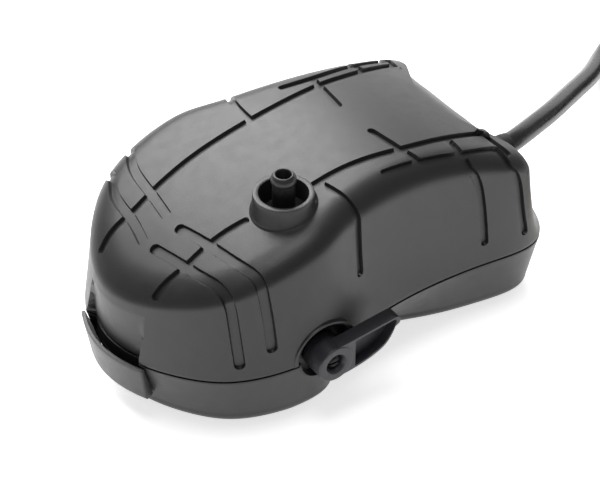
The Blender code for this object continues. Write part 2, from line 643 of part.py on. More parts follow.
def smooth_route(route, spacing):
    """Evenly spaced points on a natural cubic through the route's own points."""
    route = np.asarray(route, float)
    span = np.linalg.norm(np.diff(route, axis=0), axis=1) ** 0.5
    size = len(route)
    matrix = np.eye(size)
    right = np.zeros_like(route)
    for i in range(1, size - 1):
        matrix[i, i - 1] = span[i - 1]
        matrix[i, i] = 2 * (span[i - 1] + span[i])
        matrix[i, i + 1] = span[i]
        right[i] = 6 * ((route[i + 1] - route[i]) / span[i] - (route[i] - route[i - 1]) / span[i - 1])
    bend = np.linalg.solve(matrix, right)
    fine = []
    for i in range(size - 1):
        h = span[i]
        for u in np.linspace(0, h, 24, endpoint=i == size - 2):
            w = h - u
            bent = (bend[i] * w**3 + bend[i + 1] * u**3) / (6 * h)
            near, far = route[i] / h - bend[i] * h / 6, route[i + 1] / h - bend[i + 1] * h / 6
            fine.append(bent + near * w + far * u)
    fine = np.array(fine)
    run = np.concatenate([[0], np.cumsum(np.linalg.norm(np.diff(fine, axis=0), axis=1))])
    steps = max(2, round(run[-1] / spacing))
    at = np.linspace(0, run[-1], steps + 1)
    return np.column_stack([np.interp(at, run, fine[:, k]) for k in range(3)])


def leads():
    for name, route in LEAD_ROUTES.items():
        tube(name, route, LEAD_D, "copper_wire", 1.5, 2)


def tangent(along, z):
    """A point on the line where the last turn leaves the coil."""
    a = math.radians(TAIL_ANGLE)
    outer = COIL_MEAN_R + CORD_D
    x = COIL_X + outer * math.cos(a) + along * math.sin(a)
    y = COIL_Y + outer * math.sin(a) - along * math.cos(a)
    return (x, y, z)


def mains_cord():
    tube("mains_cord", CORD_ROUTE, CORD_D, "cord_pvc", 2.5 * CORD_D, 2)
    start, end = TAIL_RUN
    tail = [tangent(start, 7.5), tangent((start + end) / 2, 7.2), tangent(end, 7.1)]
    tube("cord_tail", tail, CORD_D, "cord_pvc", CORD_D, 2)


def cord_coil():
    """The coil's outer shape: four turns wide below and three above."""
    half = 2 * CORD_D
    low, high = COIL_Z, COIL_Z + COIL_H
    profile = [(-half, low + 1.5), (-half + 1.5, low), (half - 1.5, low), (half, low + 1.5),
               (half, low + CORD_D - 1), (half - 2.2, high), (2.2 - half, high), (-half, low + CORD_D - 1)]
    ring = [(COIL_MEAN_R + r, z) for r, z in profile]
    add_object("cord_coil", *turned(ring, (COIL_X, COIL_Y, 0), "Z", 48, closed=True), "cord_pvc")


def cord_tie():
    """A strap round all the turns at the coil's far side."""
    near, far = COIL_Y + COIL_MEAN_R - 2 * CORD_D, COIL_Y + COIL_MEAN_R + 2 * CORD_D
    low, high = COIL_Z, COIL_Z + COIL_H
    strap = box((COIL_X - 2.5, near - 1.1, 0.1), (COIL_X + 2.5, far + 1.1, high + 1.1))
    tie = add_object("cord_tie", *strap, "black_rubber")
    cut(tie, "tie", box((COIL_X - 5, near - GAP, low - GAP), (COIL_X + 5, far + GAP, high + GAP)))


def plug():
    """A flat two-pin plug on the floor at the end of the tail."""
    a = math.radians(TAIL_ANGLE)
    along, across = Vector((math.sin(a), -math.cos(a), 0)), Vector((math.cos(a), math.sin(a), 0))
    entry = Vector(tangent(TAIL_RUN[1] + GAP, 0.15 + PLUG_T / 2))

    def at(run, side, rise):
        return tuple(entry + along * run + across * side + Vector((0, 0, rise)))

    half, front, thick = PLUG_W / 2, 12.0 + PLUG_L, PLUG_T / 2
    outline = [(12, -7), (17, -9), (30, -half + 1), (34, -half), (front, -half), (front, half), (34, half),
               (30, half - 1), (17, 9), (12, 7)]
    levels = [(-thick, 1.5), (-thick + 1.5, 0), (thick - 1.5, 0), (thick, 1.5)]
    rings = []
    for rise, inset in levels:
        shrink = 1 - inset / half
        rings.append([at(30 + (run - 30) * (1 - inset / 18), side * shrink, rise) for run, side in outline])
    body = add_object("plug_body", *loft(rings), "black_gloss")
    relief = []
    for run, radius in ((0, 3.3), (12, 5.0), (15, 5.5)):
        relief.append([at(run, radius * math.cos(t), radius * math.sin(t))
                       for t in np.linspace(0, math.tau, 17)[:-1]])
    join(body, "relief", loft(relief))
    for name, side in (("plug_pin_live", -PIN_SPACING / 2), ("plug_pin_neutral", PIN_SPACING / 2)):
        pin = []
        for run, radius in ((0, PIN_D / 2), (PIN_L - 1, PIN_D / 2), (PIN_L, PIN_D / 2 - 1)):
            pin.append([at(front + GAP + run, side + radius * math.cos(t), radius * math.sin(t))
                        for t in np.linspace(0, math.tau, 13)[:-1]])
        add_object(name, *loft(pin), "brass")


def main():
    clear_scene()
    pump = bpy.data.objects.new("pump", None)
    bpy.context.scene.collection.objects.link(pump)
    pump.location = Vector(FRAME_SHIFT) * MM
    upper_casing()
    base_tray()
    intake_cover()
    intake_filter()
    rubber_feet()
    casing_screws()
    outlet_nozzle()
    flow_lever()
    lever_screw()
    regulator_spindle()
    spindle_seal()
    regulator_body()
    outlet_hose()
    pump_chamber()
    valve_cap()
    armature()
    diaphragm()
    diaphragm_stack()
    flap("inlet_flap", -5.0, -11.7, -11.7)
    flap("outlet_flap", 5.0, -15.1, -14.3)
    electromagnet()
    cord_grommet()
    cord_clamp()
    leads()
    mains_cord()
    cord_coil()
    cord_tie()
    plug()


main()
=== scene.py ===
"""Looks of the aquarium air pump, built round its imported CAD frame, in millimetres until to_world."""

import json
import math

import bmesh
import bpy
import numpy as np
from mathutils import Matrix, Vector
from mathutils.bvhtree import BVHTree
from mathutils.kdtree import KDTree


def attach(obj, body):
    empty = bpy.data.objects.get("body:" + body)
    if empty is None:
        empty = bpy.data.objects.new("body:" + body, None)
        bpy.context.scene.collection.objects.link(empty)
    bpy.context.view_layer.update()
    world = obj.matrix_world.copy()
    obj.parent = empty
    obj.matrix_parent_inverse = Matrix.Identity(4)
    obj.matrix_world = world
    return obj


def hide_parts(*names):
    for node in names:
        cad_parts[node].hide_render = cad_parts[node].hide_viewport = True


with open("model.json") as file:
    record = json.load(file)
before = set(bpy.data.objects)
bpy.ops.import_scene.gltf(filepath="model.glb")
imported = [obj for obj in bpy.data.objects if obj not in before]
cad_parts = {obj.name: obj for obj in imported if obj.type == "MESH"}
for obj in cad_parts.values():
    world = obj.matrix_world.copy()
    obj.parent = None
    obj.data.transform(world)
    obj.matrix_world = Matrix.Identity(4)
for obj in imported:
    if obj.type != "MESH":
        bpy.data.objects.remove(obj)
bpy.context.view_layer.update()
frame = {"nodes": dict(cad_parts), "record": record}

MM = 0.001
GAP = 0.3
FRAME_SHIFT = np.array([-1.8, 6.65, 0.0])
CAMERA_PLACE = (238.1, -168.8, 258.8)
CAMERA_VIEW = (-0.6375, 0.4312, -0.6384)
CAMERA_LENS = 98.8

# Casing form, as in the CAD
HALF_OUTLINE = [
    (0.0, -59.8), (21.2, -50.6), (28.7, -40.7), (31.2, -19.7),
    (28.0, -7.1), (27.4, 24.7), (26.9, 40.2), (13.5, 47.1), (0.0, 47.1),
]
PARTING_Z = 16.85
UNDERSIDE_Z = 1.2
WALL = 2.2
CROWN_Z = 49.6
CROWN_Y = -2.1
FORE_AFT_CURVE = 0.00565
CROSS_CURVE = 0.00165
SHOULDER = 6.4
SHOULDER_H = 39.0
SIDE_DRAFT = 4.0
REAR_DRAFT = 20.0
BASE_EDGE = 3.4
BASE_DRAFT_IN = (3.6, 2.0, 2.1)
WAIST_IN = 8.4
WAIST_Y = -6.5
WAIST_FRONT, WAIST_REAR = 8.0, 17.0
INTAKE_X = 1.5
INTAKE_LEAN = 1.7                 # how far the recess shifts over up the wall
INTAKE_HALF = 10.0
INTAKE_EDGE = 0.3                 # half the width of the recess's sloping sides
APRON_HALF = 11.6
APRON_LOW, APRON_HIGH = 7.0, 16.3
APRON_OUT, APRON_IN = 1.1, 0.3
APRON_DRAFT = 1.2                 # how far the front slopes in from top to bottom
APRON_EDGE, APRON_EDGE_MID = 0.35, 0.1
WINDOW_HALF, WINDOW_LOW, WINDOW_HIGH = 8.0, 8.0, 13.0
RECESS_IN = 2.0
TRAY_RECESS_IN = 1.8
TRAY_RECESS_LOW = 12.9            # where the tray's recess starts
SEAM = 0.36                       # the casing halves' edges from the parting plane, before their rounding
RIM_ROUND = ((0.12, 0.05), (0.15, 0.3))
RIM_DROP = 0.15                   # how far the rims' rounding reaches into the seam
CASING_SHARP = 38.0
SCREW_PLACES = ((-10, -42), (10, -42), (-17.2, 32), (17.2, 32))
FOOT_PLACES = ((-16, -25), (16, -25), (-14, 24), (14, 24))
SCREW_BORE_R, SCREW_BORE_TOP = 2.9, 5.2
FOOT_BORE_R, FOOT_BORE_TOP = 4.8, 2.2

# Air outlet and lever, as in the CAD
NOZZLE_X, NOZZLE_Y = 15.5, -22.3
COLLAR_RIM_Z = 50.3
CUP_R, CUP_FLOOR_Z = 5.2, 44.5
NOZZLE_TIP_Z = 55.0
BORE_R = 1.6
LEVER_Y, LEVER_Z = -22.2, PARTING_Z
HUB_FACE_X, HUB_R = 35.2, 4.4
HUB_BACK_X = 28.9
SPINDLE_BORE_R = 2.4
ARM_BACK_X = 31.7
BOSS_R, BOSS_FACE_X = 8.2, 31.35
LOWER_BOSS_R, LOWER_BOSS_FACE_X = 7.4, 28.9
BOSS_FLOOR_X = 28.2
UPPER_RECESS_R, UPPER_RECESS_RISE, LOWER_RECESS_R = 6.9, 0.8, 6.0
LOWER_LIP_X = 30.9
BOSS_BACK_X = 24.0
LIP, LIP_MID = 0.3, 0.09          # rounding of the boss and of the recess's lip

# Mains cord, as in the CAD
CORD_D = 5.4
CORD_X, CORD_Z = -3.5, 18.4
CORD_BORE_R = 4.0
GROMMET_END_Y = 56.2
CORD_ROUTE = [
    (-3.9, 57.6, 18.3), (-7.7, 67.9, 16.7), (-12.5, 78.8, 14.4), (-20.2, 93.2, 10.4),
    (-27.1, 105.8, 6.9), (-33.2, 114.8, 4.4), (-37.4, 121.4, 3.3),
]
COIL_X, COIL_Y, COIL_Z = -14.0, 161.5, 1.2
COIL_MEAN_R = 12 * CORD_D / 2
COIL_H = 10.9
TAIL_ANGLE = 10.0
TAIL_END = 34.0
COIL_START = 211.0                # where the cord joins the coil, in degrees
COIL_BOTTOM_TURNS = 3
COIL_CLIMB = 200.0                # degrees over which the cord climbs to the top turn
PLUG_W, PLUG_T = 34.0, 13.0

# Decorative channels in the upper casing
CHANNEL_HALF = 0.96
CHANNEL_WALL = 0.24
CHANNEL_DEPTH = 0.8
CHANNEL_WIDER = 0.27              # how much further out the front cross channels' edges are
FINE = 5                          # fine cells along each side of a coarse one near a channel
FINE_CELL = 0.2                   # about the size of a fine cell
FINE_MARGIN = 0.95


# ---------------------------------------------------------------- camera, first

def aim(obj, direction):
    obj.rotation_mode = "QUATERNION"
    obj.rotation_quaternion = Vector(direction).to_track_quat("-Z", "Y")


def to_world(points):
    return (np.asarray(points, float) + FRAME_SHIFT) * MM


def make_camera():
    data = bpy.data.cameras.new("camera")
    data.lens = CAMERA_LENS
    data.sensor_width = 36.0
    data.clip_start = 0.01
    camera = bpy.data.objects.new("camera", data)
    bpy.context.scene.collection.objects.link(camera)
    camera.location = to_world(CAMERA_PLACE)
    aim(camera, CAMERA_VIEW)
    bpy.context.scene.camera = camera


make_camera()


# ---------------------------------------------------------------- materials

def nodes_of(name):
    made = bpy.data.materials.new(name)
    made.use_nodes = True
    tree = made.node_tree
    return made, tree, tree.nodes["Principled BSDF"]


def noise(tree, scale, detail=4.0):
    place = tree.nodes.new("ShaderNodeTexCoord")
    made = tree.nodes.new("ShaderNodeTexNoise")
    made.inputs["Scale"].default_value = scale
    made.inputs["Detail"].default_value = detail
    tree.links.new(place.outputs["Object"], made.inputs["Vector"])
    return made.outputs["Fac"]


def spread(tree, fac, low, high):
    """A noise value spread between two numbers."""
    made = tree.nodes.new("ShaderNodeMapRange")
    made.inputs["From Min"].default_value = 0.3
    made.inputs["From Max"].default_value = 0.7
    made.inputs["To Min"].default_value = low
    made.inputs["To Max"].default_value = high
    tree.links.new(fac, made.inputs["Value"])
    return made.outputs["Result"]


def blended(tree, fac, dark, light):
    ramp = tree.nodes.new("ShaderNodeValToRGB")
    ramp.color_ramp.elements[0].position = 0.35
    ramp.color_ramp.elements[1].position = 0.65
    ramp.color_ramp.elements[0].color = (*dark, 1.0)
    ramp.color_ramp.elements[1].color = (*light, 1.0)
    tree.links.new(fac, ramp.inputs["Fac"])
    return ramp.outputs["Color"]


def bumped(tree, shader, heights, strength, distance):
    """Bump from one height, or from several added together."""
    total = heights[0]
    for more in heights[1:]:
        add = tree.nodes.new("ShaderNodeMath")
        add.operation = "ADD"
        tree.links.new(total, add.inputs[0])
        tree.links.new(more, add.inputs[1])
        total = add.outputs["Value"]
    bump = tree.nodes.new("ShaderNodeBump")
    bump.inputs["Strength"].default_value = strength
    bump.inputs["Distance"].default_value = distance
    tree.links.new(total, bump.inputs["Height"])
    tree.links.new(bump.outputs["Normal"], shader.inputs["Normal"])


def plastic(name, dark, light, rough, grain, depth, specular=0.5):
    """Moulded plastic: slow colour change, uneven gloss and a fine grain."""
    made, tree, shader = nodes_of(name)
    tree.links.new(blended(tree, noise(tree, 60.0), dark, light), shader.inputs["Base Color"])
    tree.links.new(spread(tree, noise(tree, 420.0, 3.0), *rough), shader.inputs["Roughness"])
    shader.inputs["Specular IOR Level"].default_value = specular
    bumped(tree, shader, [noise(tree, grain, 2.0)], depth, 0.00008)
    return made


def metal(name, dark, light, rough, stretch=1.0):
    made, tree, shader = nodes_of(name)
    shader.inputs["Metallic"].default_value = 1.0
    tree.links.new(blended(tree, noise(tree, 300.0), dark, light), shader.inputs["Base Color"])
    tree.links.new(spread(tree, noise(tree, 900.0 * stretch, 6.0), *rough), shader.inputs["Roughness"])
    bumped(tree, shader, [noise(tree, 2500.0 * stretch, 3.0)], 0.15, 0.00004)
    return made


def wound(name, dark, light, pitch, direction):
    """Turns of wire or stacked sheets: fine even ridges along one direction."""
    made, tree, shader = nodes_of(name)
    place = tree.nodes.new("ShaderNodeTexCoord")
    wave = tree.nodes.new("ShaderNodeTexWave")
    wave.bands_direction = direction
    wave.inputs["Scale"].default_value = math.tau / (20.0 * pitch)
    wave.inputs["Distortion"].default_value = 0.3
    tree.links.new(place.outputs["Object"], wave.inputs["Vector"])
    tree.links.new(blended(tree, wave.outputs["Fac"], dark, light), shader.inputs["Base Color"])
    shader.inputs["Metallic"].default_value = 1.0
    shader.inputs["Roughness"].default_value = 0.35
    bumped(tree, shader, [wave.outputs["Fac"], noise(tree, 1500.0)], 0.5, pitch / 3)
    return made


def felted(name):
    made, tree, shader = nodes_of(name)
    tree.links.new(blended(tree, noise(tree, 2200.0, 8.0), (0.52, 0.52, 0.50), (0.78, 0.78, 0.75)),
                   shader.inputs["Base Color"])
    shader.inputs["Roughness"].default_value = 0.95
    shader.inputs["Sheen Weight"].default_value = 0.4
    bumped(tree, shader, [noise(tree, 3000.0, 8.0)], 0.8, 0.0002)
    return made


LOOK = {
    "black_shell": plastic("black_shell", (0.0105, 0.0105, 0.011), (0.0125, 0.0125, 0.013),
                           (0.36, 0.42), 5200.0, 0.4),
    "black_gloss": plastic("black_gloss", (0.022, 0.023, 0.027), (0.026, 0.027, 0.032),
                           (0.36, 0.42), 2500.0, 0.03),
    "black_rubber": plastic("black_rubber", (0.010, 0.010, 0.010), (0.016, 0.016, 0.015),
                            (0.55, 0.7), 2600.0, 0.4, 0.35),
    "cord_pvc": plastic("cord_pvc", (0.008, 0.008, 0.009), (0.011, 0.011, 0.012),
                        (0.26, 0.30), 2500.0, 0.03),
    "white_nylon": plastic("white_nylon", (0.70, 0.69, 0.64), (0.78, 0.77, 0.73),
                           (0.4, 0.5), 2400.0, 0.2),
    "felt": felted("felt"),
    "copper_wire": wound("copper_wire", (0.45, 0.16, 0.07), (0.80, 0.36, 0.17), 0.00025, "Y"),
    "steel": metal("steel", (0.42, 0.42, 0.43), (0.62, 0.62, 0.63), (0.28, 0.42)),
    "dark_steel": wound("dark_steel", (0.10, 0.10, 0.11), (0.26, 0.26, 0.27), 0.0005, "Z"),
    "black_steel": metal("black_steel", (0.012, 0.012, 0.012), (0.03, 0.03, 0.03), (0.4, 0.5)),
    "brass": metal("brass", (0.66, 0.50, 0.22), (0.80, 0.64, 0.33), (0.18, 0.28)),
}


# ---------------------------------------------------------------- mesh helpers

def piece(name, points, faces, slot, body="casing", angle=40.0, replaced=()):
    """A named mesh from points in millimetres, riding on a body and standing for CAD nodes."""
    mesh = bpy.data.meshes.new(name)
    mesh.from_pydata([tuple(p) for p in to_world(points)], [], faces)
    edit = bmesh.new()
    edit.from_mesh(mesh)
    bmesh.ops.recalc_face_normals(edit, faces=edit.faces)
    edit.to_mesh(mesh)
    edit.free()
    mesh.shade_smooth()
    if angle:
        mesh.set_sharp_from_angle(angle=math.radians(angle))
    made = bpy.data.objects.new(name, mesh)
    bpy.context.scene.collection.objects.link(made)
    return dressed(made, slot, body, replaced)


def dressed(made, slot, body, replaced):
    made.data.materials.clear()
    made.data.materials.append(LOOK[slot])
    if body:
        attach(made, body)
    if replaced:
        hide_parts(*replaced)
    return made


def stacked(rings, closed=False, cap=True):
    """Points and faces through rings of equal length."""
    count = len(rings[0])
    points = np.concatenate([np.asarray(ring, float) for ring in rings])
    last = len(rings) if closed else len(rings) - 1
    faces = []
    for k in range(last):
        a, b = k * count, ((k + 1) % len(rings)) * count
        faces += [(a + i, a + (i + 1) % count, b + (i + 1) % count, b + i) for i in range(count)]
    if cap and not closed:
        faces.append(tuple(range(count)))
        faces.append(tuple((len(rings) - 1) * count + i for i in range(count)))
    return points, faces


AXES = {"X": ((0, 1, 0), (0, 0, 1), (1, 0, 0)), "Y": ((0, 0, 1), (1, 0, 0), (0, 1, 0)),
        "Z": ((1, 0, 0), (0, 1, 0), (0, 0, 1))}


def turned(profile, centre, axis="Z", steps=64, closed=False):
    """A profile of (radius, position) turned about an axis through centre."""
    u, v, along = (np.array(a, float) for a in AXES[axis])
    centre = np.array(centre, float)
    base = centre - along * (centre @ along)
    turn = np.arange(steps) * math.tau / steps
    around = np.cos(turn)[:, None] * u + np.sin(turn)[:, None] * v
    return stacked([base + along * at + around * radius for radius, at in profile], closed)


def softened(profile, radius=0.3, steps=3, closed=False):
    """The profile with each corner rounded off by a short curve."""
    profile = [np.array(p, float) for p in profile]
    made = []
    count = len(profile)
    for i, corner in enumerate(profile):
        if not closed and i in (0, count - 1):
            made.append(tuple(corner))
            continue
        before, after = profile[i - 1] - corner, profile[(i + 1) % count] - corner
        a, b = np.linalg.norm(before), np.linalg.norm(after)
        start = corner + before / a * min(radius, a * 0.45)
        end = corner + after / b * min(radius, b * 0.45)
        for t in np.linspace(0, 1, steps + 1):
            made.append(tuple(start * (1 - t) ** 2 + corner * 2 * t * (1 - t) + end * t * t))
    return made


def prism(outline, axis, low, high):
    order = {"X": lambda p, at: (at, p[0], p[1]), "Y": lambda p, at: (p[0], at, p[1]),
             "Z": lambda p, at: (p[0], p[1], at)}[axis]
    return stacked([[order(p, low) for p in outline], [order(p, high) for p in outline]])


def box(low, high):
    (x0, y0, z0), (x1, y1, z1) = low, high
    return prism([(x0, y0), (x1, y0), (x1, y1), (x0, y1)], "Z", z0, z1)


def arc(centre, radius, start, end, steps):
    return [(centre[0] + radius * math.cos(math.radians(a)), centre[1] + radius * math.sin(math.radians(a)))
            for a in np.linspace(start, end, steps)]


def carve(obj, shapes, operation="DIFFERENCE"):
    """Cuts or joins closed shapes with exact Booleans, applied at once."""
    for shape in shapes:
        guide = piece("guide", *shape, "black_shell", body=None, angle=0)
        step = obj.modifiers.new("carve", "BOOLEAN")
        step.operation = operation
        step.solver = "EXACT"
        step.object = guide
        settle(obj)
        bpy.data.objects.remove(guide, do_unlink=True)
    return obj


def settle(obj):
    """Applies the modifiers to the mesh."""
    graph = bpy.context.evaluated_depsgraph_get()
    graph.update()
    done = bpy.data.meshes.new_from_object(obj.evaluated_get(graph), depsgraph=graph)
    obj.modifiers.clear()
    old = obj.data
    obj.data = done
    bpy.data.meshes.remove(old)


def shaded(obj, sharp):
    obj.data.shade_smooth()
    obj.data.set_sharp_from_angle(angle=math.radians(sharp))


def rounded(obj, width, segments, angle):
    """Rounds the edges that are sharper than angle."""
    bevel = obj.modifiers.new("round", "BEVEL")
    bevel.width = width * MM
    bevel.segments = segments
    bevel.limit_method = "ANGLE"
    bevel.angle_limit = math.radians(angle)
    bevel.harden_normals = False
    settle(obj)


# ---------------------------------------------------------------- casing form

def closed_spline(corners, count):
    corners = np.asarray(corners, float)
    size = len(corners)
    span = np.linalg.norm(np.roll(corners, -1, 0) - corners, axis=1) ** 0.75
    matrix = np.zeros((size, size))
    right = np.zeros_like(corners)
    for i in range(size):
        before, after = span[i - 1], span[i]
        matrix[i, i - 1] += before
        matrix[i, i] += 2 * (before + after)
        matrix[i, (i + 1) % size] += after
        ahead, behind = corners[(i + 1) % size] - corners[i], corners[i] - corners[i - 1]
        right[i] = 6 * (ahead / after - behind / before)
    bend = np.linalg.solve(matrix, right)
    knots = np.concatenate([[0], np.cumsum(span)])
    at = np.linspace(0, knots[-1], count, endpoint=False)
    k = np.clip(np.searchsorted(knots, at, side="right") - 1, 0, size - 1)
    u = (at - knots[k])[:, None]
    h = span[k][:, None]
    w = h - u
    after = (k + 1) % size
    curve = (bend[k] * w**3 + bend[after] * u**3) / (6 * h)
    return curve + (corners[k] / h - bend[k] * h / 6) * w + (corners[after] / h - bend[after] * h / 6) * u


TABLE_STEPS = 8192
LEFT_HALF = [(-x, y) for x, y in HALF_OUTLINE[-2:0:-1]]
TABLE = closed_spline(HALF_OUTLINE + LEFT_HALF, TABLE_STEPS)
ALONG = np.roll(TABLE, -1, 0) - np.roll(TABLE, 1, 0)
TABLE_OUT = np.stack([ALONG[:, 1], -ALONG[:, 0]], 1) / np.linalg.norm(ALONG, axis=1)[:, None]


def outline(u):
    """Outline points and outward directions at u, where one turn is 1."""
    at = (np.asarray(u, float) % 1.0) * TABLE_STEPS
    low = np.floor(at).astype(int) % TABLE_STEPS
    part = (at - np.floor(at))[:, None]
    high = (low + 1) % TABLE_STEPS
    point = TABLE[low] * (1 - part) + TABLE[high] * part
    out = TABLE_OUT[low] * (1 - part) + TABLE_OUT[high] * part
    return point, out


def roof_z(x, y):
    return CROWN_Z - FORE_AFT_CURVE * (y - CROWN_Y) ** 2 - CROSS_CURVE * x**2


WALL_END, ROUND_END = 0.45, 0.62   # shares of v up the wall and round the shoulder
TRAY_WALL_END = 0.6                # the same for the tray, where its bottom edge starts
SPINE_SHARE = 0.96


def ramp(value, low, high):
    t = np.clip((value - low) / (high - low), 0, 1)
    return t * t * (3 - 2 * t)


def from_intake(point, up=0.0):
    """Distance across from the recess's middle. up is the share of the wall's height."""
    return np.abs(point[:, 0] - INTAKE_X - INTAKE_LEAN * up)


def in_nose(point, up=0.0):
    """1 in the intake's recess and 0 outside it."""
    inside = ramp(-from_intake(point, up), -INTAKE_HALF - INTAKE_EDGE, -INTAKE_HALF + INTAKE_EDGE)
    return inside * (point[:, 1] < -35)


def upper_points(u, v, skin=0.0, shoulder=SHOULDER):
    """The upper casing's surface. v is 0 at the rim and 1 at the spine of the roof."""
    u, v = np.asarray(u, float), np.asarray(v, float)
    point, out = outline(u)
    rear = np.clip(out[:, 1], 0, 1) ** 2
    lean = np.radians(SIDE_DRAFT + (REAR_DRAFT - SIDE_DRAFT) * rear)
    top = SHOULDER_H - shoulder
    centre_in = top * np.tan(lean) + shoulder / np.cos(lean)
    up = np.clip(v / WALL_END, 0, 1) * (top + shoulder * np.sin(lean))
    turn = lean + (math.pi / 2 - lean) * np.clip((v - WALL_END) / (ROUND_END - WALL_END), 0, 1)
    on_wall = v <= WALL_END
    inset = np.where(on_wall, up * np.tan(lean), centre_in - shoulder * np.cos(turn))
    share = np.where(on_wall, up, top + shoulder * np.sin(turn)) / SHOULDER_H
    if not skin:
        inset = np.maximum(inset, RECESS_IN * in_nose(point, np.clip(v / WALL_END, 0, 1)))
    flat = point - out * (inset + skin)[:, None]
    to_spine = np.clip((v - ROUND_END) / (1 - ROUND_END), 0, 1) * SPINE_SHARE
    flat = np.stack([flat[:, 0] * (1 - to_spine), flat[:, 1] * (1 - 0.3 * to_spine)], 1)
    rim = PARTING_Z + SEAM
    z = rim + (roof_z(flat[:, 0], flat[:, 1]) - skin - rim) * share
    return np.column_stack([flat, z])


def tray_drawn(y):
    nose, lobe, rear = BASE_DRAFT_IN
    plain = np.interp(y, (-59.8, -30.0, 47.1), (nose, lobe, rear))
    width = np.where(y < WAIST_Y, WAIST_FRONT, WAIST_REAR)
    return plain + WAIST_IN * np.exp(-(((y - WAIST_Y) / width) ** 2))


def tray_points(u, v, skin=0.0):
    """The tray's surface. v is 0 at the rim and 1 at the flat bottom."""
    u, v = np.asarray(u, float), np.asarray(v, float)
    point, out = outline(u)
    drawn = tray_drawn(point[:, 1])
    top = PARTING_Z - SEAM
    edge_z = UNDERSIDE_Z + BASE_EDGE
    down = np.clip(v / TRAY_WALL_END, 0, 1)
    turn = np.clip((v - TRAY_WALL_END) / (1 - TRAY_WALL_END), 0, 1) * math.pi / 2
    radius = BASE_EDGE - skin
    z = np.where(v <= TRAY_WALL_END, top + (edge_z - top) * down, edge_z - radius * np.sin(turn))
    inset = drawn * down + radius * (1 - np.cos(turn))
    if not skin:
        inset = np.maximum(inset, TRAY_RECESS_IN * in_nose(point) * (z > TRAY_RECESS_LOW))
    flat = point - out * (inset + skin)[:, None]
    return np.column_stack([flat, z])


# ---------------------------------------------------------------- decorative channels

def mirrored(path):
    return [(-x, y, z) for x, y, z in path]


LEG_FRONT = [(26.0, -35.8, 40.8), (28.1, -35.5, 37.1), (29.0, -35.0, 30.0), (29.7, -34.8, 24.0)]
LEG_NOSE = [(22.3, -42.5, 38.8), (25.1, -42.2, 36.9), (26.4, -41.9, 31.3), (27.8, -41.6, 21.3)]
LEG_WAIST = [(23.1, -11.3, 47.4), (24.6, -10.9, 46.1), (25.6, -10.7, 44.2), (26.4, -10.8, 38.9),
             (27.3, -10.8, 31.2)]
LEG_SIDE = [(22.0, 20.2, 45.1), (23.9, 20.6, 43.3), (24.9, 22.0, 39.8), (25.4, 23.0, 35.5),
            (26.1, 23.7, 29.2), (26.7, 24.1, 23.0)]
LEG_REAR = [(22.9, 30.4, 42.1), (25.2, 31.0, 40.1), (26.1, 32.4, 36.9), (26.6, 33.3, 33.0),
            (27.2, 34.0, 27.5), (27.8, 35.0, 21.8)]
CHANNELS = [
    # along the casing, left
    [(-7.3, -53.7, 33.8), (-8.6, -50.0, 36.4), (-8.8, -45.0, 39.0), (-9.6, -40.0, 41.3),
     (-10.6, -32.4, 44.2), (-11.1, -25.5, 46.3), (-11.6, -14.0, 48.6), (-12.7, -2.7, 49.3),
     (-14.1, 6.5, 48.8), (-15.1, 13.5, 47.8), (-16.2, 20.0, 46.5), (-17.9, 28.5, 43.7),
     (-18.3, 31.4, 42.8)],
    [(-17.7, -0.6, 49.1), (-17.6, 8.0, 48.5), (-19.2, 18.0, 46.2), (-20.8, 29.5, 42.9)],
    # along the casing, right
    [(13.2, -30.4, 44.8), (12.6, -34.2, 43.5), (12.4, -38.5, 41.9), (12.7, -43.0, 39.9), (12.8, -46.2, 38.3),
     (12.5, -49.7, 36.3), (12.6, -52.0, 34.2)],
    [(15.1, -16.5, 48.0), (14.5, -8.0, 49.1), (14.7, 0.0, 49.2), (15.3, 8.0, 48.6), (15.2, 19.5, 46.6),
     (14.8, 31.2, 43.0)],
    [(20.1, 0.2, 48.7), (20.3, 8.0, 48.0), (20.9, 18.6, 45.9), (20.9, 30.0, 43.0)],
    # across, middle and rear
    [(14.9, -13.2, 48.5), (20.2, -11.9, 48.4)] + LEG_WAIST,
    [(-11.8, -13.0, 48.7), (-19.5, -12.4, 48.4)] + mirrored(LEG_WAIST),
    [(7.0, 6.2, 49.1), (14.4, 7.7, 48.7), (19.8, 9.0, 48.1)],
    [(-5.0, 5.8, 49.2), (-11.0, 6.6, 49.0), (-17.6, 7.4, 48.5)],
    [(16.6, 20.5, 46.3), (20.0, 20.2, 45.9)] + LEG_SIDE,
    [(-16.4, 21.0, 46.3), (-19.0, 20.6, 46.0)] + mirrored(LEG_SIDE),
    [(14.8, 31.2, 43.0), (18.7, 31.6, 42.7), (22.3, 32.3, 41.6)],
    [(-18.3, 31.4, 42.8), (-20.5, 31.8, 42.3), (-22.3, 32.3, 41.6)],
    [(21.0, 30.2, 43.0)] + LEG_REAR,
    [(-21.0, 30.2, 43.0)] + mirrored(LEG_REAR),
]
FRONT_CHANNELS = [
    [(4.0, -40.7, 41.2), (11.4, -39.0, 41.7), (21.4, -37.1, 41.9)] + LEG_FRONT,
    [(3.7, -46.7, 38.3), (12.5, -44.9, 39.0), (19.0, -43.4, 39.2)] + LEG_NOSE,
    [(-2.0, -40.7, 41.2), (-10.9, -39.7, 41.4), (-20.0, -38.4, 41.6)] + mirrored(LEG_FRONT),
    [(-0.6, -47.3, 38.1), (-8.3, -46.0, 38.7), (-17.0, -44.8, 38.6)] + mirrored(LEG_NOSE),
]


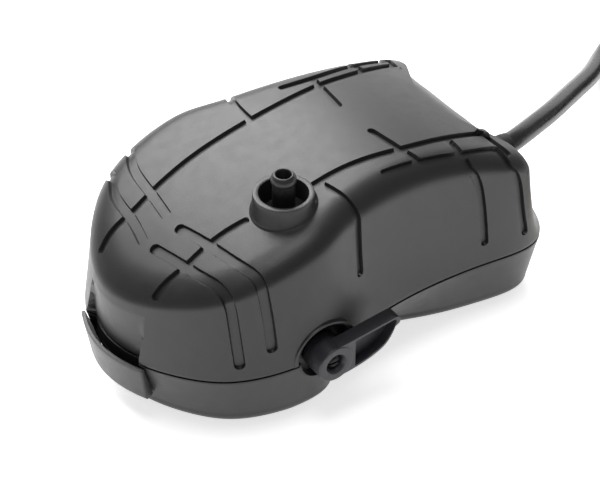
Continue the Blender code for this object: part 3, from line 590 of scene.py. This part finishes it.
def smooth_path(route, spacing):
    """Points close together on a natural cubic through the route."""
    route = np.asarray(route, float)
    span = np.linalg.norm(np.diff(route, axis=0), axis=1) ** 0.5
    size = len(route)
    matrix = np.eye(size)
    right = np.zeros_like(route)
    for i in range(1, size - 1):
        matrix[i, i - 1] = span[i - 1]
        matrix[i, i] = 2 * (span[i - 1] + span[i])
        matrix[i, i + 1] = span[i]
        right[i] = 6 * ((route[i + 1] - route[i]) / span[i] - (route[i] - route[i - 1]) / span[i - 1])
    bend = np.linalg.solve(matrix, right)
    fine = []
    for i in range(size - 1):
        h = span[i]
        for u in np.linspace(0, h, 40, endpoint=i == size - 2):
            w = h - u
            fine.append((bend[i] * w**3 + bend[i + 1] * u**3) / (6 * h)
                        + (route[i] / h - bend[i] * h / 6) * w
                        + (route[i + 1] / h - bend[i + 1] * h / 6) * u)
    fine = np.array(fine)
    run = np.concatenate([[0], np.cumsum(np.linalg.norm(np.diff(fine, axis=0), axis=1))])
    at = np.linspace(0, run[-1], max(2, round(run[-1] / spacing)) + 1)
    return np.column_stack([np.interp(at, run, fine[:, k]) for k in range(3)])


def channel_trees():
    """A search tree for each width of channel, with how much further out its edges are."""
    trees = []
    for routes, wider in ((CHANNELS, 0.0), (FRONT_CHANNELS, CHANNEL_WIDER)):
        spots = np.concatenate([smooth_path(path, 0.12) for path in routes])
        tree = KDTree(len(spots))
        for number, spot in enumerate(spots):
            tree.insert(spot, number)
        tree.balance()
        trees.append((tree, wider))
    return trees


def from_channels(points, normals, trees):
    """Distance along the surface to the nearest channel's middle, and the direction away from it."""
    nearest, direction = np.full(len(points), np.inf), np.zeros_like(points)
    for tree, wider in trees:
        away = np.array([point - np.array(tree.find(point)[0]) for point in points])
        away -= normals * (away * normals).sum(1)[:, None]
        far = np.linalg.norm(away, axis=1)
        nearer = far - wider < nearest
        nearest[nearer] = (far - wider)[nearer]
        direction[nearer] = (away / np.maximum(far, 1e-6)[:, None])[nearer]
    return nearest, direction


def with_channels(points, normals, cell):
    """Sinks the channels. Points near a channel's two edges move onto them, so that the edges are clean."""
    far, away = from_channels(points, normals, channel_trees())
    inner = CHANNEL_HALF - CHANNEL_WALL
    middle = (CHANNEL_HALF + inner) / 2
    to_outer = (far >= middle) & (far < CHANNEL_HALF + cell / 2)
    to_inner = (far < middle) & (far > inner - cell / 2)
    shift = np.where(to_outer, CHANNEL_HALF - far, np.where(to_inner, inner - far, 0.0))
    moved = points + away * shift[:, None]
    sunk = ((far + shift) < middle)[:, None]
    return moved - normals * sunk * CHANNEL_DEPTH


# ---------------------------------------------------------------- casing pieces

AROUND = 288
UP_WALL, UP_ROUND, UP_ROOF = 30, 11, 21


def casing_rows():
    wall = np.linspace(0, WALL_END, UP_WALL + 1)
    curve = np.linspace(WALL_END, ROUND_END, UP_ROUND + 1)[1:]
    roof = np.linspace(ROUND_END, 1.0, UP_ROOF + 1)[1:]
    return np.concatenate([wall, curve, roof])


def normals_at(u, v):
    step_u, step_v = 0.0008, 0.002
    side = upper_points(u + step_u, v) - upper_points(u - step_u, v)
    rise = upper_points(u, np.minimum(v + step_v, 1)) - upper_points(u, np.maximum(v - step_v, 0))
    made = np.cross(side, rise)
    return made / np.linalg.norm(made, axis=1)[:, None]


def fine_cells(rows, trees):
    """Which coarse cells hold part of a channel or of the nose recess's edges."""
    i, j = np.meshgrid(np.arange(AROUND), np.arange(len(rows) - 1), indexing="ij")
    u, v = (i.ravel() + 0.5) / AROUND, (rows[j.ravel()] + rows[j.ravel() + 1]) / 2
    middle = upper_points(u, v)
    far, _ = from_channels(middle, normals_at(u, v), trees)
    side = from_intake(middle, np.clip(v / WALL_END, 0, 1))
    flagged = far < CHANNEL_HALF + FINE_MARGIN
    flagged |= (np.abs(side - INTAKE_HALF) < 0.9) & (middle[:, 1] < -45)
    flagged[j.ravel() == 0] = False
    return {(int(a), int(b)) for a, b in zip(i.ravel()[flagged], j.ravel()[flagged])}


def upper_grid():
    """The casing's outer skin as keys on a fine grid, with faces that share them."""
    rows = casing_rows()
    fine = fine_cells(rows, channel_trees())
    ids, wide = {}, AROUND * FINE

    def vertex(a, b):
        return ids.setdefault((a % wide, b), len(ids))

    for i, j in fine:
        for a in range(FINE + 1):
            for b in range(FINE + 1):
                vertex(i * FINE + a, j * FINE + b)
    faces = []
    for i in range(AROUND):
        for j in range(len(rows) - 1):
            a, b = i * FINE, j * FINE
            if (i, j) in fine:
                faces += [(vertex(a + p, b + q), vertex(a + p + 1, b + q), vertex(a + p + 1, b + q + 1),
                           vertex(a + p, b + q + 1)) for p in range(FINE) for q in range(FINE)]
                continue
            steps = range(FINE)
            edge = [(a + k, b) for k in steps] + [(a + FINE, b + k) for k in steps]
            edge += [(a + FINE - k, b + FINE) for k in steps] + [(a, b + FINE - k) for k in steps]
            corners = {(a, b), (a + FINE, b), (a + FINE, b + FINE), (a, b + FINE)}
            faces.append(tuple(vertex(*key) for key in edge
                               if key in corners or (key[0] % wide, key[1]) in ids))
    keys = np.array(sorted(ids, key=ids.get), float)
    u = keys[:, 0] / wide
    v = np.interp(keys[:, 1] / FINE, np.arange(len(rows)), rows)
    return ids, faces, u, v, len(rows) - 1


def upper_casing():
    ids, faces, u, v, top = upper_grid()
    points = list(with_channels(upper_points(u, v), normals_at(u, v), FINE_CELL))
    ring = np.arange(AROUND) / AROUND

    def row(b):
        return [ids[(i * FINE, b)] for i in range(AROUND)]

    def extra(places):
        start = len(points)
        points.extend(places)
        return list(range(start, start + AROUND))

    def bridged(low, high):
        return [(low[i], low[(i + 1) % AROUND], high[(i + 1) % AROUND], high[i]) for i in range(AROUND)]

    def strip(line):
        pairs = [(line[i], line[(AROUND - i) % AROUND]) for i in range(AROUND // 2 + 1)]
        return [tuple(dict.fromkeys((a, c, d, b))) for (a, b), (c, d) in zip(pairs, pairs[1:])]

    faces += strip(row(top * FINE))
    last = row(0)
    rim = upper_points(ring, 0 * ring)
    _, out = outline(ring)
    for lower, inward in RIM_ROUND:
        place = rim - np.column_stack([out * inward, np.full(AROUND, lower)])
        line = extra(place)
        faces += bridged(last, line)
        last = line
    for level in (0.0, 0.2, 0.45, 0.5, 0.56, 0.62, 0.75, 0.88, 1.0):
        place = upper_points(ring, np.full(AROUND, level), WALL, SHOULDER - WALL)
        if level == 0:
            place[:, 2] = PARTING_Z + SEAM - RIM_DROP
        line = extra(place)
        faces += bridged(last, line)
        last = line
    faces += strip(last)
    casing = piece("casing_top", points, faces, "black_shell", angle=0, replaced=["upper_casing"])
    carve(casing, [boss_half(0, BOSS_R, BOSS_FACE_X, SEAM - RIM_DROP)], "UNION")
    carve(casing, [
        turned([(6.0, 38.0), (6.0, 60.0)], (NOZZLE_X, NOZZLE_Y, 0), "Z", 48),
        recess_cutter(UPPER_RECESS_R, BOSS_FACE_X, UPPER_RECESS_RISE),
        *side_bores(),
    ])
    shaded(casing, CASING_SHARP)


def base_tray():
    ring = np.arange(AROUND) / AROUND
    rows = [tray_points(ring, np.full(AROUND, level), WALL) for level in (1.0, 0.85, 0.7, 0.6, 0.3)]
    edge = tray_points(ring, 0 * ring)
    _, out = outline(ring)
    rows.append(tray_points(ring, 0 * ring, WALL) + np.array([0, 0, RIM_DROP]))
    for higher, inward in reversed(RIM_ROUND):
        rows.append(edge + np.column_stack([-out * inward, np.full(AROUND, higher)]))
    levels = [*np.linspace(0.0, TRAY_WALL_END, 22), *np.linspace(TRAY_WALL_END, 1.0, 12)[1:]]
    for level in levels:
        rows.append(tray_points(ring, np.full(AROUND, level)))
    tray = piece("casing_base", *stacked(rows), "black_shell", angle=0, replaced=["base_tray"])
    window = box((INTAKE_X - WINDOW_HALF, -62.0, WINDOW_LOW), (INTAKE_X + WINDOW_HALF, -49.0, WINDOW_HIGH))
    carve(tray, [boss_half(180, LOWER_BOSS_R, LOWER_BOSS_FACE_X, RIM_DROP - SEAM)], "UNION")
    carve(tray, [recess_cutter(LOWER_RECESS_R, LOWER_LIP_X, 0.0), *side_bores(), window])
    for places, radius, top, steps in ((SCREW_PLACES, SCREW_BORE_R, SCREW_BORE_TOP, 32),
                                       (FOOT_PLACES, FOOT_BORE_R, FOOT_BORE_TOP, 40)):
        carve(tray, [turned([(radius, -2.0), (radius, top)], (x, y, 0), "Z", steps) for x, y in places])
    shaded(tray, CASING_SHARP)


def side_bores():
    """The holes that both casing halves share: the spindle's in the side and the cord's in the rear."""
    return [turned([(SPINDLE_BORE_R, 20.0), (SPINDLE_BORE_R, 45.0)], (0, LEVER_Y, LEVER_Z), "X", 32),
            turned([(CORD_BORE_R, 38.0), (CORD_BORE_R, 60.0)], (CORD_X, 0, CORD_Z), "Y", 40)]


def boss_half(start, radius, face, rise):
    """Half of the round boss in the wall round the lever's hub, with its edge rounded."""
    rings = []
    for at, inward in ((BOSS_BACK_X, 0.0), (face - LIP, 0.0), (face - LIP_MID, LIP_MID), (face, LIP)):
        half = arc((LEVER_Y, LEVER_Z + rise), radius - inward, start, start + 180, 65)
        rings.append([(at, y, z) for y, z in half])
    return stacked(rings)


def recess_cutter(radius, lip, rise):
    """Cuts the round recess, opening out a little at its lip."""
    profile = [(radius, BOSS_FLOOR_X), (radius, lip - LIP), (radius + LIP_MID, lip - LIP_MID),
               (radius + LIP, lip), (radius + 0.9, lip + 0.4), (radius + 0.9, 45.0)]
    return turned(profile, (0, LEVER_Y, LEVER_Z + rise), "X", 96)


def smooth_casing():
    """The casing's surface without its channels, to set other pieces on."""
    count = 160
    ring = np.arange(count) / count
    rings = [upper_points(ring, np.full(count, level)) for level in np.linspace(0.3, 1.0, 60)]
    points, faces = stacked(rings, cap=False)
    return BVHTree.FromPolygons([tuple(p) for p in points], faces)


def collar():
    """The cup round the nozzle, with a foot that runs out onto the casing."""
    rim = COLLAR_RIM_Z
    floor = CUP_FLOOR_Z
    profile = [(3.0, 43.0), (3.0, floor), (CUP_R - 0.5, floor), (CUP_R - 0.1, floor + 0.15),
               (CUP_R, floor + 0.6), (CUP_R, rim - 0.35), (CUP_R + 0.1, rim - 0.1), (CUP_R + 0.35, rim),
               (6.15, rim), (6.38, rim - 0.08), (6.47, rim - 0.3), (6.52, rim - 1.0),
               (6.62, rim - 2.0)]
    foot = [(6.78, 0.62), (6.84, 0.38), (6.95, 0.17), (7.12, 0.04), (7.3, -0.04), (7.4, -0.6)]
    count = 128
    turn = np.arange(count) * math.tau / count
    east, north = np.cos(turn), np.sin(turn)
    rings = [np.column_stack([NOZZLE_X + radius * east, NOZZLE_Y + radius * north, np.full(count, z)])
             for radius, z in profile]
    surface = smooth_casing()
    for radius, above in foot:
        x, y = NOZZLE_X + radius * east, NOZZLE_Y + radius * north
        height = [surface.ray_cast(Vector((a, b, 70.0)), Vector((0, 0, -1)))[0].z for a, b in zip(x, y)]
        rings.append(np.column_stack([x, y, np.array(height) + above]))
    piece("nozzle_cup", *stacked(rings, closed=True), "black_shell", angle=45)


def nozzle():
    """A tube with a foot on the cup's floor and a rounded lip at its tip."""
    outer = [(2.35, 21.9), (2.35, 44.8), (3.0, 44.8), (2.75, 45.5), (2.45, 46.8), (2.38, 52.6),
             (2.48, 52.9), (2.64, 53.2), (2.7, 53.6), (2.67, 54.0), (2.48, 54.5), (2.12, 54.87),
             (1.92, NOZZLE_TIP_Z), (1.75, 54.95), (BORE_R, 54.7), (BORE_R, 21.9)]
    shape = turned(outer, (NOZZLE_X, NOZZLE_Y, 0), "Z", 72, closed=True)
    piece("air_nozzle", *shape, "black_shell", angle=55, replaced=["outlet_nozzle"])


# ---------------------------------------------------------------- flow lever

def spline2d(points, steps):
    flat = [(x, y, 0.0) for x, y in points]
    return [tuple(p[:2]) for p in smooth_path(flat, steps)]


def from_hub(points):
    return [(y + LEVER_Y, z + LEVER_Z) for y, z in points]


def lever():
    """A tear-drop arm with a shallow pocket in its face, and a round hub with a hole for the screw."""
    upper = spline2d([(-1.0, 4.2), (5.0, 4.6), (10.5, 5.1), (15.4, 5.5)], 0.9)
    tip = arc((15.5, 4.2), 1.28, 76, -40, 7)
    lower = spline2d([(15.5, 2.9), (14.9, 1.5), (13.4, -0.7), (11.0, -2.2), (7.5, -3.3), (3.5, -3.9),
                      (0.5, -4.1)], 0.9)
    edge = prism(from_hub(upper + tip + lower), "X", ARM_BACK_X, HUB_FACE_X - 0.2)
    above = spline2d([(5.0, 3.95), (10.0, 4.45), (15.0, 4.9)], 1.2) + [(15.55, 4.7), (15.7, 4.0)]
    below = spline2d([(15.3, 2.9), (14.3, 1.3), (13.0, -0.35), (10.8, -1.65), (7.5, -2.7), (5.0, -3.1)], 0.9)
    arm = piece("lever_arm", *edge, "black_gloss", body=None, angle=0)
    carve(arm, [prism(from_hub(above + below), "X", ARM_BACK_X + 0.9, 40.0)])
    rounded(arm, 0.22, 3, 40)
    carve(arm, [turned([(HUB_R - 0.15, 20.0), (HUB_R - 0.15, 45.0)], (0, LEVER_Y, LEVER_Z), "X", 64)])
    shaded(arm, 45)
    dressed(arm, "black_gloss", "lever", [])
    hub = [(2.3, HUB_BACK_X), (HUB_R, HUB_BACK_X), (HUB_R, HUB_FACE_X), (2.55, HUB_FACE_X),
           (1.9, HUB_FACE_X - 1.1), (1.9, 33.0), (1.25, 33.0), (1.25, 31.9), (2.3, 31.9)]
    shape = turned(softened(hub, 0.4, 4, closed=True), (0, LEVER_Y, LEVER_Z), "X", 72, closed=True)
    piece("lever_hub", *shape, "black_gloss", body="lever", angle=50, replaced=["flow_lever"])


# ---------------------------------------------------------------- intake apron

def nose_turns(count):
    """The u of points across the nose, from the apron's left end to its right end."""
    u = np.linspace(-0.16, 0.16, 600)
    across = outline(u)[0][:, 0]
    low, high = INTAKE_X - APRON_HALF, INTAKE_X + APRON_HALF
    between = np.linspace(low + APRON_EDGE, high - APRON_EDGE, count - 4)
    stops = [low, low + APRON_EDGE_MID, *between, high - APRON_EDGE_MID, high]
    return np.interp(stops, across, u)


def tray_level(z, skin):
    """The v at which the tray's surface, moved in by skin, comes down to a height."""
    edge_z = UNDERSIDE_Z + BASE_EDGE
    if z >= edge_z:
        return TRAY_WALL_END * (PARTING_Z - SEAM - z) / (PARTING_Z - SEAM - edge_z)
    round_edge = math.asin((edge_z - z) / (BASE_EDGE - skin)) / (math.pi / 2)
    return TRAY_WALL_END + (1 - TRAY_WALL_END) * round_edge


def apron():
    """A cover over the intake, sloping in front and fitted to the tray's nose behind, with rounded edges."""
    turns = nose_turns(81)
    edge = [(0.0, APRON_EDGE), (APRON_EDGE_MID, APRON_EDGE_MID), (APRON_EDGE, 0.0)]
    front = [(APRON_HIGH - down, inward) for down, inward in edge]
    front += [(z, 0.0) for z in np.linspace(APRON_HIGH - 1, APRON_LOW + 1, 9)]
    front += [(APRON_LOW + up, inward) for up, inward in reversed(edge)]
    ends = {0: APRON_EDGE, 1: APRON_EDGE_MID, len(turns) - 2: APRON_EDGE_MID, len(turns) - 1: APRON_EDGE}
    back = np.linspace(APRON_LOW, APRON_HIGH, 14)
    levels = np.array([tray_level(z, -APRON_IN) for z in back])
    rings = []
    for k, u in enumerate(turns):
        point, out = outline(np.array([u]))
        ring = []
        for z, inward in front:
            slope = APRON_DRAFT * (APRON_HIGH - z) / (APRON_HIGH - APRON_LOW)
            flat = point[0] + out[0] * (APRON_OUT - slope - max(inward, ends.get(k, 0.0)))
            ring.append((*flat, z))
        ring += [tuple(p) for p in tray_points(np.full(len(back), u), levels, -APRON_IN)]
        rings.append(ring)
    piece("intake_apron", *stacked(rings), "black_shell", angle=50, replaced=["intake_cover"])


# ---------------------------------------------------------------- mains cord

def grommet():
    """The strain relief: a flange against the casing and a ribbed tapering sleeve."""
    profile = [(2.9, 36.8), (3.6, 36.8), (3.6, 47.7), (4.2, 47.7), (4.2, 48.5), (3.7, 48.9)]
    for k in range(4):
        at, radius = 49.4 + 1.6 * k, 3.45 - 0.09 * k
        profile += [(radius, at), (radius, at + 0.95), (radius - 0.3, at + 1.1), (radius - 0.3, at + 1.45)]
    profile += [(3.1, 55.9), (3.0, GROMMET_END_Y), (2.85, GROMMET_END_Y)]
    shape = turned(softened(profile, 0.2, 2, closed=True), (CORD_X, 0, CORD_Z), "Y", 56, closed=True)
    return piece("strain_relief", *shape, "black_rubber", angle=50, replaced=["cord_grommet"])


def coil_path():
    """Turns from the outside in along the bottom, up, and out again on top, then the tail to the plug."""
    start, bottom = math.radians(COIL_START), COIL_Z + CORD_D / 2
    top = COIL_Z + COIL_H - CORD_D / 2
    outer, inner = COIL_MEAN_R + 1.5 * CORD_D, COIL_MEAN_R - 1.5 * CORD_D
    made = []

    def turn(angle, radius, z):
        made.append((COIL_X + radius * math.cos(angle), COIL_Y + radius * math.sin(angle), z))

    for t in np.linspace(0, 1, COIL_BOTTOM_TURNS * 24 + 1):
        turn(start - COIL_BOTTOM_TURNS * math.tau * t, outer + (inner - outer) * t, bottom)
    climb = math.radians(COIL_CLIMB)
    for t in np.linspace(0, 1, 14)[1:]:
        turn(start - climb * t, inner + 0.5 * CORD_D * t, bottom + (top - bottom) * float(ramp(t, 0, 1)))
    first = start - climb
    last = math.radians(TAIL_ANGLE)
    sweep = (first - last) % math.tau + math.tau
    rise = COIL_MEAN_R + CORD_D - (inner + 0.5 * CORD_D)
    for t in np.linspace(0, 1, 50)[1:]:
        turn(first - sweep * t, inner + 0.5 * CORD_D + rise * t, top)
    return made


def tangent(along, z):
    """A point on the straight tail, along from where it leaves the coil."""
    a = math.radians(TAIL_ANGLE)
    outer = COIL_MEAN_R + CORD_D
    return (COIL_X + outer * math.cos(a) + along * math.sin(a),
            COIL_Y + outer * math.sin(a) - along * math.cos(a), z)


def cord_points():
    first = [(CORD_X, GROMMET_END_Y - 6.0, CORD_Z), (CORD_X, GROMMET_END_Y - 2.0, CORD_Z)]
    to_coil = CORD_ROUTE + [(-43.2, 131.0, 2.9)]
    tail = [tangent(9.0, 9.0), tangent(18.0, 8.2), tangent(27.0, 7.4), tangent(TAIL_END, 6.9),
            tangent(TAIL_END + 4.0, 6.65)]
    return smooth_path(first + to_coil + coil_path() + tail, 3.0)


def mains_cord():
    points = cord_points()
    curve = bpy.data.curves.new("mains_lead", "CURVE")
    curve.dimensions = "3D"
    curve.bevel_depth = CORD_D / 2 * MM
    curve.bevel_resolution = 8
    curve.use_fill_caps = True
    spline = curve.splines.new("POLY")
    spline.points.add(len(points) - 1)
    for made, place in zip(spline.points, to_world(points)):
        made.co = (*place, 1.0)
    spline.use_smooth = True
    cord = bpy.data.objects.new("mains_lead", curve)
    bpy.context.scene.collection.objects.link(cord)
    dressed(cord, "cord_pvc", "casing", ["mains_cord", "cord_coil", "cord_tail"])
    length = float(np.linalg.norm(np.diff(points, axis=0), axis=1).sum()) * MM
    return cord, points[0], length


def cord_tie():
    """A strap with rounded edges round all the turns at the far side."""
    near, far = COIL_MEAN_R - 2 * CORD_D - GAP, COIL_MEAN_R + 2 * CORD_D + GAP
    low, high = COIL_Z - GAP, COIL_Z + COIL_H + GAP
    loop = [(near, low), (far, low), (far, high - 3.0), (far - 2.2, high), (near + 2.2, high),
            (near, high - 3.0)]
    inner = softened(loop, 2.0, 5, closed=True)
    rings = []
    middle = ((near + far) / 2, (low + high) / 2)
    for half, thick in ((2.4, 0.0), (2.5, 0.12), (2.5, 0.68), (2.35, 0.8), (-2.35, 0.8), (-2.5, 0.68),
                        (-2.5, 0.12), (-2.4, 0.0)):
        ring = []
        for r, z in inner:
            grow_r = (r - middle[0]) / (far - middle[0]) * thick
            grow_z = (z - middle[1]) / (high - middle[1]) * thick
            ring.append((COIL_X + half, COIL_Y + r + grow_r, max(z + grow_z, 0.12)))
        rings.append(ring)
    return piece("lead_tie", *stacked(rings, closed=True), "black_rubber", angle=50, replaced=["cord_tie"])


def plug_frame():
    a = math.radians(TAIL_ANGLE)
    along, across = np.array([math.sin(a), -math.cos(a), 0]), np.array([math.cos(a), math.sin(a), 0])
    entry = np.array(tangent(TAIL_END + GAP, 0.15 + PLUG_T / 2))
    return entry, along, across


def plug():
    """A flat two-pin plug: a rounded body that narrows to the cord, with finger ridges."""
    entry, along, across = plug_frame()
    half, thick = PLUG_W / 2, PLUG_T / 2
    stations = [(11.5, 5.6, 5.0), (14.0, 7.0, 5.6), (18.0, 9.2, 6.1), (24.0, 12.6, 6.3),
                (30.0, 15.8, thick), (34.0, half, thick), (40.0, half, thick), (46.5, half, thick),
                (47.6, half - 0.5, thick - 0.5), (48.0, half - 1.6, thick - 1.6)]
    rings = []
    for run, wide, deep in stations:
        ring = []
        for t in np.arange(48) * math.tau / 48:
            c, s = math.cos(t), math.sin(t)
            x = wide * math.copysign(abs(c) ** 0.35, c)
            z = deep * math.copysign(abs(s) ** 0.45, s)
            ring.append(entry + along * run + across * x + np.array([0, 0, z]))
        rings.append(ring)
    body = piece("plug_shell", *stacked(rings), "black_gloss", angle=50, replaced=["plug_body"])
    relief = []
    for k in range(8):
        at = 1.4 * k
        for run, radius in ((at, 3.2 + 0.19 * k), (at + 0.8, 3.3 + 0.19 * k), (at + 0.95, 2.95 + 0.19 * k),
                            (at + 1.3, 2.95 + 0.19 * k)):
            turn = np.arange(40) * math.tau / 40
            relief.append(entry + along * run + np.cos(turn)[:, None] * across * radius
                          + np.sin(turn)[:, None] * np.array([0, 0, 1.0]) * radius)
    relief.append(entry + along * 12.5 + (relief[-1] - entry - along * 11.1))
    neck = piece("plug_relief", *stacked(relief), "black_gloss", angle=50)
    return body, neck


# ---------------------------------------------------------------- the rest of the frame

def dress_frame():
    """A procedural material on every CAD node."""
    slots = {row["node"]: row["material_slot"] for row in frame["record"]["subparts"]}
    for name, node in frame["nodes"].items():
        node.data.materials.clear()
        node.data.materials.append(LOOK[slots[name]])


def softbox(name, place, target, size, power, size_y=None):
    data = bpy.data.lights.new(name, "AREA")
    data.shape = "RECTANGLE"
    data.size = size
    data.size_y = size_y or size
    data.energy = power
    light = bpy.data.objects.new(name, data)
    bpy.context.scene.collection.objects.link(light)
    light.location = Vector(place)
    aim(light, Vector(target) - Vector(place))


def studio():
    """A white floor, a dim surround, a broad light on the left, a low one behind and a small one above."""
    bpy.context.scene.view_settings.view_transform = "Standard"
    world = bpy.data.worlds.new("surround")
    world.use_nodes = True
    world.node_tree.nodes["Background"].inputs["Color"].default_value = (1.0, 1.0, 1.0, 1.0)
    world.node_tree.nodes["Background"].inputs["Strength"].default_value = 0.27
    bpy.context.scene.world = world
    mesh = bpy.data.meshes.new("floor")
    far = 3.0
    mesh.from_pydata([(-far, -far, 0), (far, -far, 0), (far, far, 0), (-far, far, 0)], [], [(0, 1, 2, 3)])
    floor = bpy.data.objects.new("floor", mesh)
    bpy.context.scene.collection.objects.link(floor)
    made, _, shader = nodes_of("floor_white")
    shader.inputs["Base Color"].default_value = (0.92, 0.92, 0.92, 1.0)
    shader.inputs["Roughness"].default_value = 0.9
    shader.inputs["Specular IOR Level"].default_value = 0.1
    shader.inputs["Emission Color"].default_value = (1.0, 1.0, 1.0, 1.0)
    shader.inputs["Emission Strength"].default_value = 0.66
    mesh.materials.append(made)
    softbox("left_light", (-0.56, 0.08, 0.60), (0.0, -0.01, 0.03), 0.75, 10.5, 0.6)
    softbox("rear_light", (-0.7, 0.95, 0.35), (0.0, 0.0, 0.03), 1.0, 2.2, 0.5)
    softbox("top_light", (0.06, -0.10, 0.9), (0.03, -0.02, 0.02), 0.32, 2.2)


# ---------------------------------------------------------------- everything

lead, lead_exit, lead_length = mains_cord()
relief = grommet()
tie = cord_tie()
shell, neck = plug()
dress_frame()
upper_casing()
base_tray()
collar()
nozzle()
lever()
apron()
studio()
